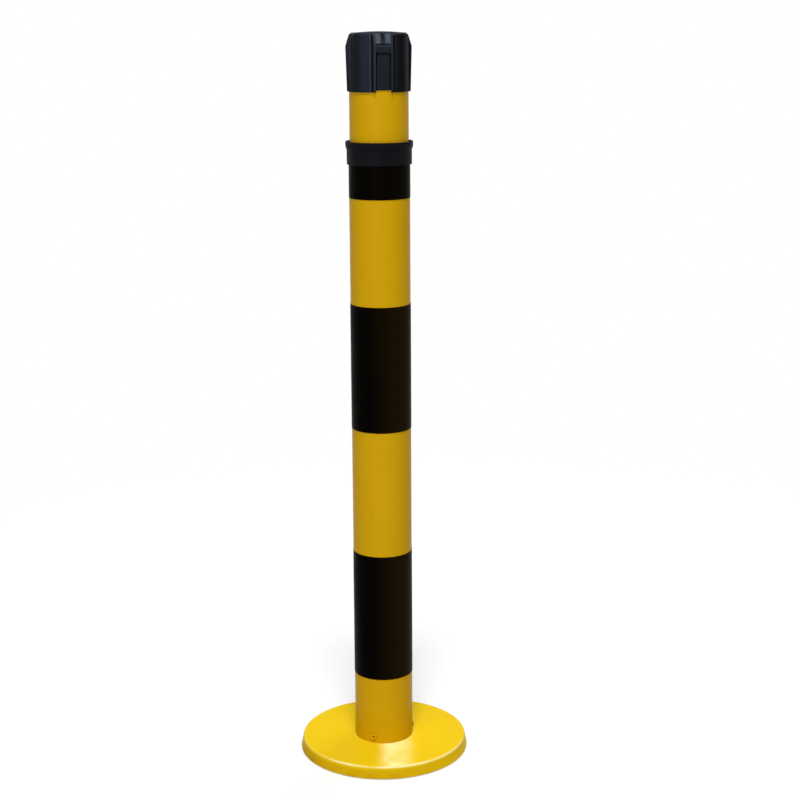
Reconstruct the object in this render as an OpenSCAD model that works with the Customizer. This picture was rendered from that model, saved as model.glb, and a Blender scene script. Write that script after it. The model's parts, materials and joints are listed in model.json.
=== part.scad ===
// Portable barrier bollard: a weighted post with a telescopic mast and a spring-wound belt in its head.
// Millimetres, +Z up, origin on the floor at the post's axis, belt side facing -Y.

/* [Post] */
// Outside diameter of the lower tube
tube_od = 77.5; // [70:0.5:82]
// Wall of the lower tube
tube_wall = 1; // [0.8:0.1:1.6]
// Height of the collar's mouth above the floor
post_h = 817; // [700:1:950]
// Height of the tube screws above the base
foot_screw_up = 9; // [7:0.5:20]

/* [Base] */
// Diameter of the base at the floor
base_od = 225; // [180:1:300]
// Height of the base
base_h = 17; // [15:0.5:30]
// How far the rim leans out from its top edge to the floor
rim_flare = 2.5; // [0:0.5:6]
// Radius of the rolled top edge
edge_r = 3; // [2.5:0.5:6]
// Sheet of the base cover
cover_sheet = 1.2; // [0.8:0.1:2]
// Height of the rubber floor ring
ring_h = 3; // [2:0.5:4]
// Width of the rubber floor ring
ring_w = 32; // [15:1:45]
// Height of the socket inside the tube's foot
socket_h = 45; // [35:1:80]

/* [Bands] */
// Foot of the lower band
band_lower_z = 108; // [60:1:140]
// Height of the lower band
band_lower_h = 171; // [120:1:200]
// Foot of the middle band
band_middle_z = 446; // [400:1:480]
// Height of the middle band
band_middle_h = 164; // [100:1:190]
// Foot of the upper band, measured down from the collar
band_upper_drop = 42; // [20:1:46]
// Thickness of the band film
film = 0.3; // [0.1:0.05:0.5]

/* [Collar] */
// Height of the collar
collar_h = 29; // [26:0.5:45]
// Wall of the collar's skirt
collar_wall = 2.4; // [2:0.1:4]
// Wall of the collar's lip
lip_wall = 1.8; // [1.2:0.1:2.5]
// Height of the collar's lip
lip_h = 5; // [4.5:0.5:7]
// Depth of the mouth that takes the head's foot
mouth_depth = 3.5; // [2:0.5:4]

/* [Mast] */
// Gap between the mast tube and the lower tube
slide_gap = 0.4; // [0.3:0.1:1]
// Wall of the mast tube
mast_wall = 1.2; // [0.8:0.1:1.6]
// Length of mast that shows between collar and head
mast_raise = 61.5; // [20:0.5:64]
// Further travel of the mast, upwards
raise_travel = 180; // [80:1:260]
// Height of the stop rivet below the collar's mouth
stop_drop = 80; // [78:1:95]
// Length of mast tube below its stop slot
mast_tail = 35; // [25:1:80]

/* [Head] */
// Height of the head's moulding
head_h = 72; // [68:0.5:85]
// Height of the domed cap's crown above the moulding
crown = 1.5; // [0.5:0.5:4]
// Wall of the skirt around the mast tube
skirt_wall = 1.1; // [1:0.05:2.5]
// Wall of the shell above the skirt
shell_wall = 2.8; // [2.4:0.1:3.2]
// Width of each side pad
pad_w = 25; // [24:0.5:28]
// How far a pad's brow stands out past the shell
pad_brow = 1.5; // [0.8:0.1:3]
// Height of the brow above the head's foot
brow_z = 55.5; // [54:0.5:58]
// Width of the front frame's opening
frame_open_w = 19; // [18:0.5:20]
// Top of the front frame's opening above the head's foot
frame_open_h = 48; // [44:0.5:49]
// Width of a receiver's slot
slot_w = 11.6; // [11:0.1:13]
// Depth of a receiver's inner pocket
pocket_depth = 4.6; // [4.4:0.1:5.5]

/* [Belt] */
// Length of the belt
belt_len = 2000; // [1500:50:2200]
// Width of the belt
belt_w = 40; // [36:0.5:40.5]
// Thickness of the belt
belt_t = 0.5; // [0.4:0.05:0.55]
// Gap around the parked belt end
clip_gap = 1.5; // [0.8:0.1:2]

/* [Hidden] */
$fn = 96;
eps = 0.01;
over = 1;
arc_steps = 8;
dome_steps = 10;

// Clearances
run_fit = 0.1;
seat_fit = 0.15;
thread_fit = 0.05;
free_gap = 0.3;

// Colours
yellow = "gold";
black = "#222428";
steel = "silver";
rubber = "#303030";
cast = "dimgray";

// Lower post
tube_r = tube_od / 2;
bore_r = tube_r - tube_wall;
collar_z = post_h - collar_h;
cover_top_r = base_od / 2 - rim_flare;
rim_gap = 1;
weight_gap = 1.3;
weight_r = cover_top_r - cover_sheet - weight_gap;
weight_top = base_h - cover_sheet;
weight_round = edge_r - cover_sheet;
socket_r = bore_r - seat_fit;
socket_floor = 6;
socket_wall = 5;
bolt_r = 6;
bolt_hex_r = 11;
bolt_head_h = 7.5;
bolt_room = 1;
washer_r = 12;
washer_h = 2.5;
nut_h = 10;
screw_r = 2.5;
screw_head_r = 4;
screw_head_h = 1.4;
hex_r = 1.5;
hex_depth = 2;
screw_z = base_h + foot_screw_up;
screw_angles = [-30, 90, 210];

// Collar and mast
mast_r = bore_r - slide_gap;
mast_in = mast_r - mast_wall;
collar_fit_r = tube_r + seat_fit;
collar_r = collar_fit_r + collar_wall;
tube_drop = 12;
tube_top = post_h - tube_drop;
groove_h = 4;
groove_up = 2;
groove_in = 0.5;
groove_z = tube_top + groove_up;
groove_r = collar_fit_r + groove_in;
head_z = post_h + mast_raise;
foot_gap = 0.5;
mast_down = mast_raise + mouth_depth - foot_gap;
stop_z = post_h - stop_drop;
slot_end = screw_r + free_gap;
stop_slot_low = stop_z - raise_travel - slot_end;
stop_slot_top = stop_z + mast_down + slot_end;
mast_foot = stop_slot_low - mast_tail;
rim_up = 2.4;
bush_h = 8;
bush_plug = 15;
bush_wall = 3;

// Head, heights above its foot
skirt_in = mast_r + seat_fit;
core_r = skirt_in + skirt_wall;
shell_in = core_r - shell_wall;
top_round = 4;
plate_drop = 9;
plate_z = head_h - plate_drop;
plate_t = 2.5;
pad_set = 0.1;
pad_foot = core_r - pad_set;
pad_top = core_r + pad_brow;
shoulder_in = 3.3;
shoulder_drop = 2;
top_in = 3.5;
pad_shoulder = core_r - shoulder_in;
shoulder_z = head_h - shoulder_drop;
pad_bevel = 0.8;
channel_w = 2.5;
channel_depth = 0.5;
rail_t = 1.5;
pocket_front = pad_foot - rail_t;
pocket_back = pocket_front - pocket_depth;
pocket_w = frame_open_w + 2 * free_gap;
pocket_floor_z = 8;
pocket_wall = 1.6;
frame_depth = 3.9;
floor_y = pad_foot - frame_depth;
floor_t = 2;
ramp_side = 0.2;
ramp_up = 3.5;
ramp_set = 0.8;
ramp_in = 5.9;
ramp_w = frame_open_w + 2 * ramp_side;
ramp_z = brow_z + ramp_up;
ramp_face = pad_top - (pad_top - pad_shoulder) * ramp_up / (shoulder_z - brow_z) - ramp_set;
sill_gap = 1.5;
sill_depth = 2;
notch_w = 6;
notch_tip = 2;
notch_up = 0.8;
notch_in = 0.4;
cap_gap = 0.4;
cap_r = pocket_back - pocket_wall - cap_gap;
cap_seat = 3;
cap_t = 2;
corner_r = sqrt(pad_foot * pad_foot + pad_w * pad_w / 4);
mouth_r = corner_r + 2 * free_gap;
lip_r = mouth_r + lip_wall;

// Belt end
panel_w = frame_open_w - 2 * clip_gap;
panel_gap = 0.4;
panel_z = rim_up + panel_gap;
panel_top = frame_open_h - clip_gap;
panel_back = floor_y + free_gap;
panel_face = pad_foot - free_gap;
panel_bevel = 0.6;
belt_z = (panel_z + panel_top) / 2 - belt_w / 2;
neck_side = 1;
neck_tail = 2;
neck_gap = 0.5;
neck_w = slot_w - 2 * neck_side;
neck_rear = floor_y - floor_t - neck_tail;
neck_hole_w = neck_w + 2 * neck_gap;
loop_in = 2.3;
loop_y = neck_rear + loop_in;
clip_pin_r = 1.2;
loop_r = clip_pin_r + run_fit + belt_t;
slit_w = belt_t + 2 * free_gap;

// Reel
axle_r = 3;
axle_hex_r = 5.75;
axle_head_h = 4;
axle_nut_h = 5;
pin_r = 2;
pin_x = pin_r + belt_t / 2 + free_gap;
pin_clear = 0.5;
pin_y = neck_rear - pin_clear - pin_r;
flange_clear = 1;
flange_lip = 1.5;
flange_t = 1.5;
flange_r = pin_y - pin_r - flange_clear;
roll_r = flange_r - flange_lip;
hub_r = sqrt(roll_r * roll_r - belt_len * belt_t / PI);
arbor_wall = 3.5;
arbor_r = axle_r + arbor_wall;
clip_t = 1;
cup_wall = 5;
ledge_wall = 3.6;
plug_gap = 0.4;
plug_r = mast_in - seat_fit;
cup_r = plug_r - cup_wall;
ledge_r = plug_r - ledge_wall;
cup_floor = -26;
cup_floor_t = 3;
plug_top = rim_up - plug_gap;
lid_z = -3;
lid_t = 2;
set_screw_z = -12;
set_screw_angles = [145, 215];
set_screw_flush = 0.4;
set_screw_len = mast_r - ledge_r - set_screw_flush;
spring_h = 15;
spring_up = 1;
spring_t = 0.5;
spring_turns = 9;
spring_steps = 30;
spring_in = arbor_r + free_gap + spring_t / 2;
spring_out = cup_r - free_gap - spring_t / 2;
belt_side = 1;
belt_low = belt_z - belt_side;
belt_high = belt_z + belt_w + belt_side;

// Points on an arc of radius r about c, from angle a to angle b
function arc(c, r, a, b, n = arc_steps) =
    [for (i = [0:n]) c + r * [cos(a + (b - a) * i / n), sin(a + (b - a) * i / n)]];

// Plan direction at an azimuth counted from the front, positive towards +X
module at_azimuth(a) {
    rotate([0, 0, a]) children();
}

module on_head() {
    translate([0, 0, head_z]) children();
}

module tube(outer, inner, z, h) {
    translate([0, 0, z]) difference() {
        cylinder(r = outer, h = h);
        translate([0, 0, -eps]) cylinder(r = inner, h = h + 2 * eps);
    }
}

// Round bar pointing to the front from depth y0 to depth y1
module front_bar(r, y0, y1, z) {
    translate([0, -y0, z]) rotate([90, 0, 0]) cylinder(r = r, h = y1 - y0, $fn = 48);
}

module hex(r, z, h) {
    translate([0, 0, z]) cylinder(r = r, h = h, $fn = 6);
}

// Block centred on x, between two depths and two heights, on the front side
module front_block(w, y0, y1, z0, z1) {
    translate([-w / 2, -y1, z0]) cube([w, y1 - y0, z1 - z0]);
}

module floor_ring() {
    color(rubber) tube(weight_r, weight_r - ring_w, 0, ring_h);
}

module base_weight() {
    edge = [weight_r - weight_round, weight_top - weight_round];
    color(cast) difference() {
        rotate_extrude($fn = 128)
            polygon(concat([[0, ring_h], [weight_r, ring_h]], arc(edge, weight_round, 0, 90),
                [[0, weight_top]]));
        cylinder(r = bolt_hex_r + bolt_room, h = ring_h + free_gap + bolt_head_h);
        cylinder(r = bolt_r + run_fit, h = base_h);
    }
}

module base_cover() {
    edge = [cover_top_r - edge_r, base_h - edge_r];
    outside = concat(arc(edge, edge_r, 90, 0), [[base_od / 2, rim_gap]]);
    inside = concat([[base_od / 2 - cover_sheet, rim_gap]], arc(edge, edge_r - cover_sheet, 0, 90));
    hole = bolt_r + run_fit;
    color(yellow) rotate_extrude($fn = 128)
        polygon(concat([[hole, base_h]], outside, inside, [[hole, weight_top]]));
}

module tube_socket() {
    color(steel) difference() {
        translate([0, 0, base_h]) cylinder(r = socket_r, h = socket_h);
        translate([0, 0, base_h + socket_floor]) cylinder(r = socket_r - socket_wall, h = socket_h);
        cylinder(r = bolt_r + run_fit, h = base_h + socket_h);
        for (a = screw_angles)
            at_azimuth(a) front_bar(screw_r + thread_fit, socket_r - socket_wall - over, tube_r, screw_z);
    }
}

module centre_bolt() {
    color(steel) union() {
        hex(bolt_hex_r, ring_h + free_gap, bolt_head_h);
        translate([0, 0, ring_h + free_gap])
            cylinder(r = bolt_r, h = base_h + socket_floor + washer_h + nut_h - ring_h);
    }
}

module centre_washer() {
    color(steel) tube(washer_r, bolt_r + run_fit, base_h + socket_floor, washer_h);
}

module centre_nut() {
    color(steel) difference() {
        hex(bolt_hex_r, base_h + socket_floor + washer_h, nut_h);
        cylinder(r = bolt_r + thread_fit, h = base_h + socket_h);
    }
}

module lower_tube() {
    color(yellow) difference() {
        tube(tube_r, bore_r, base_h, tube_top - base_h);
        for (a = screw_angles)
            at_azimuth(a) front_bar(screw_r + thread_fit, bore_r - over, tube_r + over, screw_z);
        at_azimuth(180) front_bar(screw_r + thread_fit, bore_r - over, tube_r + over, stop_z);
    }
}

module tube_screws() {
    seat = tube_r + thread_fit;
    color(steel) for (a = screw_angles) at_azimuth(a) difference() {
        union() {
            front_bar(screw_r, socket_r - socket_wall, seat + eps, screw_z);
            front_bar(screw_head_r, seat, seat + screw_head_h, screw_z);
        }
        translate([0, -seat + hex_depth - screw_head_h, screw_z]) rotate([90, 0, 0])
            cylinder(r = hex_r, h = 2 * hex_depth, $fn = 6);
    }
}

module band(z, h) {
    color(black) tube(tube_r + thread_fit + film, tube_r + thread_fit, z, h);
}

module band_lower() {
    band(band_lower_z, band_lower_h);
}

module band_middle() {
    band(band_middle_z, band_middle_h);
}

module band_upper() {
    band(collar_z - band_upper_drop, band_upper_drop);
}

module collar() {
    guide_r = mast_r + run_fit;
    chamfer = 1;
    flare_h = 7;
    lip_low = post_h - lip_h;
    flare = [for (i = [0:arc_steps]) let (up = i / arc_steps)
        [collar_r + (lip_r - collar_r) * (1 - cos(180 * up)) / 2, lip_low - flare_h * (1 - up)]];
    outside = concat([[collar_r - chamfer, collar_z], [collar_r, collar_z + chamfer]], flare,
        arc([lip_r - chamfer, post_h - chamfer], chamfer, 0, 90));
    inside = [[mouth_r, post_h], [mouth_r, post_h - mouth_depth], [guide_r, post_h - mouth_depth],
        [guide_r, groove_z + groove_h], [groove_r, groove_z + groove_h], [groove_r, groove_z],
        [guide_r, groove_z], [guide_r, tube_top], [collar_fit_r, tube_top], [collar_fit_r, collar_z]];
    color(black) rotate_extrude($fn = 128) polygon(concat(outside, inside));
}

module grip_ring() {
    color(rubber)
        tube(groove_r - thread_fit, mast_r + thread_fit, groove_z + thread_fit, groove_h - 2 * thread_fit);
}

module stop_rivet() {
    dome_r = 8;
    tip_past = 0.6;
    color(steel) at_azimuth(180) union() {
        front_bar(screw_r, mast_in - tip_past, tube_r + eps, stop_z);
        intersection() {
            front_bar(screw_head_r, tube_r - over, tube_r + screw_head_r, stop_z);
            translate([0, -tube_r - screw_head_h + dome_r, stop_z]) sphere(r = dome_r);
            difference() {
                cylinder(r = tube_od, h = 2 * stop_z);
                cylinder(r = tube_r, h = 2 * stop_z);
            }
        }
    }
}

module upper_tube() {
    slot_in = mast_in - over;
    slot_low = stop_slot_low + slot_end;
    slot_high = stop_slot_top - slot_end;
    color(yellow) difference() {
        tube(mast_r, mast_in, mast_foot, head_z + rim_up - mast_foot);
        at_azimuth(180) {
            front_block(2 * slot_end, slot_in, mast_r + over, slot_low, slot_high);
            front_bar(slot_end, slot_in, mast_r + over, slot_low);
            front_bar(slot_end, slot_in, mast_r + over, slot_high);
        }
        for (a = set_screw_angles)
            at_azimuth(a) front_bar(screw_r + thread_fit, slot_in, mast_r + over, head_z + set_screw_z);
    }
}

module guide_bush() {
    color(black) difference() {
        union() {
            translate([0, 0, mast_foot - bush_h]) cylinder(r = bore_r - run_fit, h = bush_h);
            translate([0, 0, mast_foot - eps]) cylinder(r = plug_r, h = bush_plug);
        }
        translate([0, 0, mast_foot - bush_h - eps])
            cylinder(r = plug_r - bush_wall, h = bush_h + bush_plug + 2 * eps);
    }
}

// Side outline of a pad, sloped back above its brow, as a prism of width w set back by a depth
module pad_side(w, back) {
    translate([w / 2, 0, 0]) rotate([90, 0, -90]) linear_extrude(w)
        polygon([[0, 0], [pad_foot - back, 0], [pad_top - back, brow_z], [pad_shoulder - back, shoulder_z],
            [pad_shoulder - top_in - back, head_h], [0, head_h]]);
}

// Flat pad on the shell's front side
module pad() {
    intersection() {
        pad_side(pad_w, 0);
        linear_extrude(head_h)
            polygon([[-pad_w / 2, 0], [pad_w / 2, 0], [pad_w / 2, -pad_foot + pad_bevel],
                [pad_w / 2 - pad_bevel, -pad_top], [-pad_w / 2 + pad_bevel, -pad_top],
                [-pad_w / 2, -pad_foot + pad_bevel]]);
    }
}

// Round core of the head, with a shallow channel beside each pad that slopes back with it
module head_core() {
    cut_w = pad_w + 2 * channel_w;
    difference() {
        rotate_extrude($fn = 128)
            polygon(concat([[0, 0], [core_r, 0]],
                arc([core_r - top_round, head_h - top_round], top_round, 0, 90), [[0, head_h]]));
        for (a = [0:90:270]) at_azimuth(a) difference() {
            front_block(cut_w, cap_r + cap_gap, core_r + over, -over, head_h + over);
            intersection() {
                translate([0, 0, -2 * over])
                    cylinder(r = core_r - channel_depth, h = head_h + 4 * over, $fn = 128);
                union() {
                    pad_side(cut_w + 2 * over, channel_depth);
                    front_block(cut_w + 2 * over, 0, pad_foot - channel_depth, -2 * over, over);
                    front_block(cut_w + 2 * over, 0, pad_shoulder - top_in - channel_depth, head_h - over,
                        head_h + 2 * over);
                }
            }
        }
    }
}

// Wedge that cuts the sloped window above the front frame
module ramp() {
    deep = ramp_face - ramp_in;
    translate([ramp_w / 2, 0, 0]) rotate([90, 0, -90]) linear_extrude(ramp_w)
        polygon([[pad_top + over, ramp_z], [ramp_face, ramp_z], [deep, head_h], [deep, head_h + over],
            [pad_top + over, head_h + over]]);
}

// Cuts that make the front frame: opening, way for the belt, sloped window with a gap under it, and
// the upright tapered groove in the window
module front_cuts() {
    front_block(frame_open_w, floor_y, pad_top + over, -over, frame_open_h);
    front_block(neck_hole_w, neck_rear - over, pad_top, panel_z - panel_gap, panel_top + panel_gap);
    ramp();
    front_block(ramp_w, ramp_face - sill_depth, pad_top + over, ramp_z - sill_gap, ramp_z + eps);
    translate([0, notch_in + ramp_in - ramp_face, 0]) rotate([90, 0, 0]) linear_extrude(pad_top)
        polygon([[-notch_tip / 2, plate_z + notch_up], [notch_tip / 2, plate_z + notch_up],
            [notch_w / 2, head_h + over], [-notch_w / 2, head_h + over]]);
}

// Cuts that make a receiver: pocket behind two rails, with an open mouth above them
module receiver_cuts() {
    front_block(pocket_w, pocket_back, pocket_front, pocket_floor_z, head_h + over);
    front_block(slot_w, pocket_back, pad_top + over, pocket_floor_z, head_h + over);
    front_block(pocket_w, pocket_back, pad_top + over, ramp_z, head_h + over);
}

// Room inside the shell, less the walls behind each pad
module head_room() {
    difference() {
        translate([0, 0, rim_up]) cylinder(r = shell_in, h = plate_z - rim_up);
        front_block(pocket_w + 2 * pocket_wall, floor_y - floor_t, core_r, -over, head_h);
        for (a = [90:90:270]) at_azimuth(a)
            front_block(pocket_w + 2 * pocket_wall, pocket_back - pocket_wall, core_r, -over, head_h);
    }
}

module head_shell() {
    color(black) on_head() difference() {
        union() {
            head_core();
            for (a = [0:90:270]) at_azimuth(a) pad();
        }
        head_room();
        translate([0, 0, -over]) cylinder(r = skirt_in, h = over + rim_up);
        cylinder(r = axle_r + run_fit, h = head_h);
        translate([0, 0, plate_z + plate_t]) cylinder(r = cap_r - cap_t, h = head_h);
        translate([0, 0, head_h - cap_seat]) cylinder(r = cap_r + run_fit, h = head_h);
        front_cuts();
        for (a = [90:90:270]) at_azimuth(a) receiver_cuts();
    }
}

module head_cap() {
    dome = [for (i = [0:dome_steps]) let (out = 1 - i / dome_steps)
        [cap_r * out, head_h + crown * (1 - out * out)]];
    seat = head_h - cap_seat;
    color(black) on_head() rotate_extrude($fn = 128)
        polygon(concat([[cap_r, seat]], dome, [[0, head_h - cap_t + crown], [cap_r - cap_t, head_h - cap_t],
            [cap_r - cap_t, seat]]));
}

module cassette_frame() {
    color(black) on_head() difference() {
        translate([0, 0, cup_floor]) cylinder(r = plug_r, h = plug_top - cup_floor);
        translate([0, 0, cup_floor + cup_floor_t]) cylinder(r = cup_r, h = -cup_floor + plug_top);
        translate([0, 0, lid_z]) cylinder(r = ledge_r, h = plug_top - lid_z + over);
        translate([0, 0, cup_floor - over]) cylinder(r = axle_r + thread_fit, h = -cup_floor);
        for (a = set_screw_angles)
            at_azimuth(a) front_bar(screw_r + thread_fit, ledge_r - over, mast_r, set_screw_z);
    }
}

module set_screws() {
    color(steel) on_head() for (a = set_screw_angles) at_azimuth(a) difference() {
        front_bar(screw_r, ledge_r, ledge_r + set_screw_len, set_screw_z);
        translate([0, -ledge_r - set_screw_len + hex_depth, set_screw_z]) rotate([90, 0, 0])
            cylinder(r = hex_r, h = 2 * hex_depth, $fn = 6);
    }
}

module spool_axle() {
    color(steel) on_head() union() {
        hex(axle_hex_r, cup_floor - axle_head_h, axle_head_h);
        translate([0, 0, cup_floor - axle_head_h])
            cylinder(r = axle_r, h = plate_z + plate_t + axle_nut_h - cup_floor + axle_head_h);
    }
}

module axle_nut() {
    color(steel) on_head() difference() {
        hex(axle_hex_r, plate_z + plate_t, axle_nut_h);
        cylinder(r = axle_r + thread_fit, h = head_h);
    }
}

module spool_clip() {
    color(steel) on_head() tube(2 * axle_r, axle_r + thread_fit, belt_high + flange_t + free_gap, clip_t);
}

module spring_lid() {
    color(black) on_head() difference() {
        tube(ledge_r - run_fit, arbor_r + free_gap, lid_z, lid_t);
        for (side = [-1, 1]) translate([side * pin_x, -pin_y, lid_z - over])
            cylinder(r = pin_r + thread_fit, h = lid_t + 2 * over);
    }
}

// Centre line of the spring's spiral at step i
function spring_radius(i) = spring_in + (spring_out - spring_in) * i / (spring_turns * spring_steps);
function spring_point(i, side) =
    (spring_radius(i) + side * spring_t / 2) * [cos(360 * i / spring_steps), sin(360 * i / spring_steps)];

module power_spring() {
    last = spring_turns * spring_steps;
    color(steel) on_head() translate([0, 0, cup_floor + cup_floor_t + spring_up]) linear_extrude(spring_h)
        polygon(concat([for (i = [0:last]) spring_point(i, 1)], [for (i = [last:-1:0]) spring_point(i, -1)]));
}

module guide_pins() {
    color(steel) on_head() for (side = [-1, 1])
        translate([side * pin_x, -pin_y, lid_z]) cylinder(r = pin_r, h = belt_high - lid_z);
}

module belt_spool() {
    arbor_z = cup_floor + cup_floor_t + free_gap;
    color(black) on_head() difference() {
        union() {
            translate([0, 0, arbor_z]) cylinder(r = arbor_r, h = belt_low - arbor_z);
            translate([0, 0, belt_low - flange_t]) cylinder(r = flange_r, h = flange_t);
            translate([0, 0, belt_low - eps]) cylinder(r = hub_r, h = belt_high - belt_low + 2 * eps);
            translate([0, 0, belt_high]) cylinder(r = flange_r, h = flange_t);
        }
        translate([0, 0, cup_floor]) cylinder(r = axle_r + thread_fit, h = 2 * head_h);
    }
}

module belt_roll() {
    color(black) on_head() tube(roll_r, hub_r + run_fit, belt_z, belt_w);
}

// Belt end: a panel with a narrower neck, slit for the belt's loop
module clip_panel() {
    color(black) on_head() difference() {
        union() {
            translate([0, 0, panel_z]) linear_extrude(panel_top - panel_z)
                polygon([[-panel_w / 2, -panel_back], [panel_w / 2, -panel_back],
                    [panel_w / 2, -panel_face + panel_bevel], [panel_w / 2 - panel_bevel, -panel_face],
                    [-panel_w / 2 + panel_bevel, -panel_face], [-panel_w / 2, -panel_face + panel_bevel]]);
            front_block(neck_w, neck_rear, panel_back + eps, panel_z, panel_top);
        }
        translate([0, -loop_y, belt_z - free_gap]) cylinder(r = loop_r + run_fit, h = belt_w + 2 * free_gap);
        front_block(slit_w, neck_rear - over, loop_y, belt_z - free_gap, belt_z + belt_w + free_gap);
    }
}

module clip_pin() {
    color(steel) on_head() translate([0, -loop_y, belt_z]) cylinder(r = clip_pin_r, h = belt_w, $fn = 48);
}

// Belt from the roll's tangent, round the right-hand pin and straight out to its loop on the clip's pin
module belt_lead() {
    leave_r = roll_r + free_gap + belt_t / 2;
    turn_r = pin_x;
    pin = [pin_x, -pin_y];
    toward = atan2(pin[1], pin[0]);
    leave = toward + acos((leave_r + turn_r) / norm(pin));
    unit = [cos(leave), sin(leave)];
    far = leave_r + belt_t / 2;
    near = leave_r - belt_t / 2;
    loop_mid = loop_y - loop_r + belt_t / 2;
    color(black) on_head() union() {
        translate([0, 0, belt_z]) linear_extrude(belt_w)
            polygon(concat([far * unit], arc(pin, turn_r - belt_t / 2, leave + 180, 180, 6),
                [[belt_t / 2, -loop_mid], [-belt_t / 2, -loop_mid]],
                arc(pin, turn_r + belt_t / 2, 180, leave + 180, 6), [near * unit]));
        translate([0, -loop_y, 0]) tube(loop_r, loop_r - belt_t, belt_z, belt_w);
    }
}

floor_ring();
base_weight();
base_cover();
tube_socket();
centre_bolt();
centre_washer();
centre_nut();
lower_tube();
tube_screws();
band_lower();
band_middle();
band_upper();
collar();
grip_ring();
stop_rivet();
upper_tube();
guide_bush();
head_shell();
head_cap();
cassette_frame();
set_screws();
spool_axle();
axle_nut();
spool_clip();
spring_lid();
power_spring();
guide_pins();
belt_spool();
belt_roll();
clip_panel();
clip_pin();
belt_lead();
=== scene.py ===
import json
import math

import bpy
from mathutils import Matrix, Vector
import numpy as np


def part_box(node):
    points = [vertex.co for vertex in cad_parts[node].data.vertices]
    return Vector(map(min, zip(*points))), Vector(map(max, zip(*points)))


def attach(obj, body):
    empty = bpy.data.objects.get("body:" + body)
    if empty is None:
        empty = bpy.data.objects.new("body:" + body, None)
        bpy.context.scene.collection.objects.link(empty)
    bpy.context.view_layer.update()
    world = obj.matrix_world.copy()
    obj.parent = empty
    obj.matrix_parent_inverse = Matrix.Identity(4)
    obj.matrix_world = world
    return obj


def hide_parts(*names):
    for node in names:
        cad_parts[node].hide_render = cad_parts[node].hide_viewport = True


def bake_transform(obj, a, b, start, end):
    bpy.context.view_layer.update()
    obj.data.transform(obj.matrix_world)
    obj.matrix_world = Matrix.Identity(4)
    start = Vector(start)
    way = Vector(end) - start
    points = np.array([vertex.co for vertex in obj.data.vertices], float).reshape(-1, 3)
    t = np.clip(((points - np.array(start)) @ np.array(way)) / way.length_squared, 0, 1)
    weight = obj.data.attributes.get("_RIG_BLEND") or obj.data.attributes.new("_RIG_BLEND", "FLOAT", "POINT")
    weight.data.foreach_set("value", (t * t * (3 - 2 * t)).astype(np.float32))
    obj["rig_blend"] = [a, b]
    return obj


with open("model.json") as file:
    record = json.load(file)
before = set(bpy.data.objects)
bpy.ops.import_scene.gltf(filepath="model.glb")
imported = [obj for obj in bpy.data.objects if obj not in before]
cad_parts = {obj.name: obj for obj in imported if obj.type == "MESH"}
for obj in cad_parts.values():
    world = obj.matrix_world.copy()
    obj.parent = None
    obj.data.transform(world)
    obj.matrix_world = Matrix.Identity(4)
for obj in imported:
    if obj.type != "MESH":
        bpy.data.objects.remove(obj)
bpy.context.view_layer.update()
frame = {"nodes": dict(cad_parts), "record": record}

nodes = frame["nodes"]
mm = 0.001
fullTurn = 2 * math.pi
print("frame loaded:", len(nodes), "nodes")


# Small tools for working by hand

meshCare = {"weld": 0.002, "flatDeg": 0.3, "smoothDeg": 32}  # weld in millimetres


def workOn(piece):
    if bpy.context.mode != "OBJECT":
        bpy.ops.object.mode_set(mode="OBJECT")
    bpy.ops.object.select_all(action="DESELECT")
    if piece:
        piece.select_set(True)
        bpy.context.view_layer.objects.active = piece


def startPoint(name, at):
    workOn(None)
    bpy.ops.mesh.primitive_plane_add(size=mm)
    piece = bpy.context.object
    piece.name = piece.data.name = name
    bpy.ops.object.mode_set(mode="EDIT")
    bpy.ops.mesh.merge(type="CENTER")  # one point left, at the origin
    bpy.ops.transform.translate(value=at)
    return piece


def drawOn(step):
    bpy.ops.mesh.extrude_region_move(TRANSFORM_OT_translate={"value": step})


def drawThrough(points):
    for here, there in zip(points, points[1:]):
        drawOn(Vector(there) - Vector(here))


def weldAll():
    bpy.ops.mesh.select_all(action="SELECT")
    bpy.ops.mesh.remove_doubles(threshold=meshCare["weld"] * mm)


def tidyFaces():
    weldAll()
    bpy.ops.mesh.delete_loose()
    bpy.ops.mesh.select_all(action="SELECT")
    bpy.ops.mesh.normals_make_consistent(inside=False)
    bpy.ops.object.mode_set(mode="OBJECT")


def useModifier(piece, kind, **settings):
    workOn(piece)
    modifier = piece.modifiers.new(kind.lower(), kind)
    for key, value in settings.items():
        setattr(modifier, key, value)
    bpy.ops.object.modifier_apply(modifier=modifier.name)


def arcPoints(centre, radius, fromDeg, toDeg, steps):
    turns = [math.radians(fromDeg + (toDeg - fromDeg) * i / steps) for i in range(steps + 1)]
    return [(centre[0] + radius * math.cos(t), centre[1] + radius * math.sin(t)) for t in turns]


def spinAll(steps, angle):
    bpy.ops.mesh.select_all(action="SELECT")
    bpy.ops.mesh.spin(steps=steps, angle=angle, center=(0, 0, 0), axis=(0, 0, 1))


def spunPiece(name, profile, steps):
    points = [(x, 0, z) for x, z in profile]
    piece = startPoint(name, points[0])
    drawThrough(points + points[:1])
    spinAll(steps, fullTurn)
    tidyFaces()
    return piece


def raisedStrip(name, points, rise, thick):
    piece = startPoint(name, points[0])
    drawThrough(points)
    bpy.ops.mesh.select_all(action="SELECT")
    drawOn((0, 0, rise))
    tidyFaces()
    useModifier(piece, "SOLIDIFY", thickness=thick, offset=0)
    return piece


def flattenFaces(piece):
    workOn(piece)
    bpy.ops.object.mode_set(mode="EDIT")
    weldAll()
    bpy.ops.mesh.dissolve_limited(angle_limit=math.radians(meshCare["flatDeg"]))
    bpy.ops.object.mode_set(mode="OBJECT")


def plainCopy(name, node):
    piece = bpy.data.objects.new(name, nodes[node].data.copy())
    bpy.context.scene.collection.objects.link(piece)
    workOn(piece)
    bpy.ops.mesh.customdata_custom_splitnormals_clear()
    flattenFaces(piece)
    return piece


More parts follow.
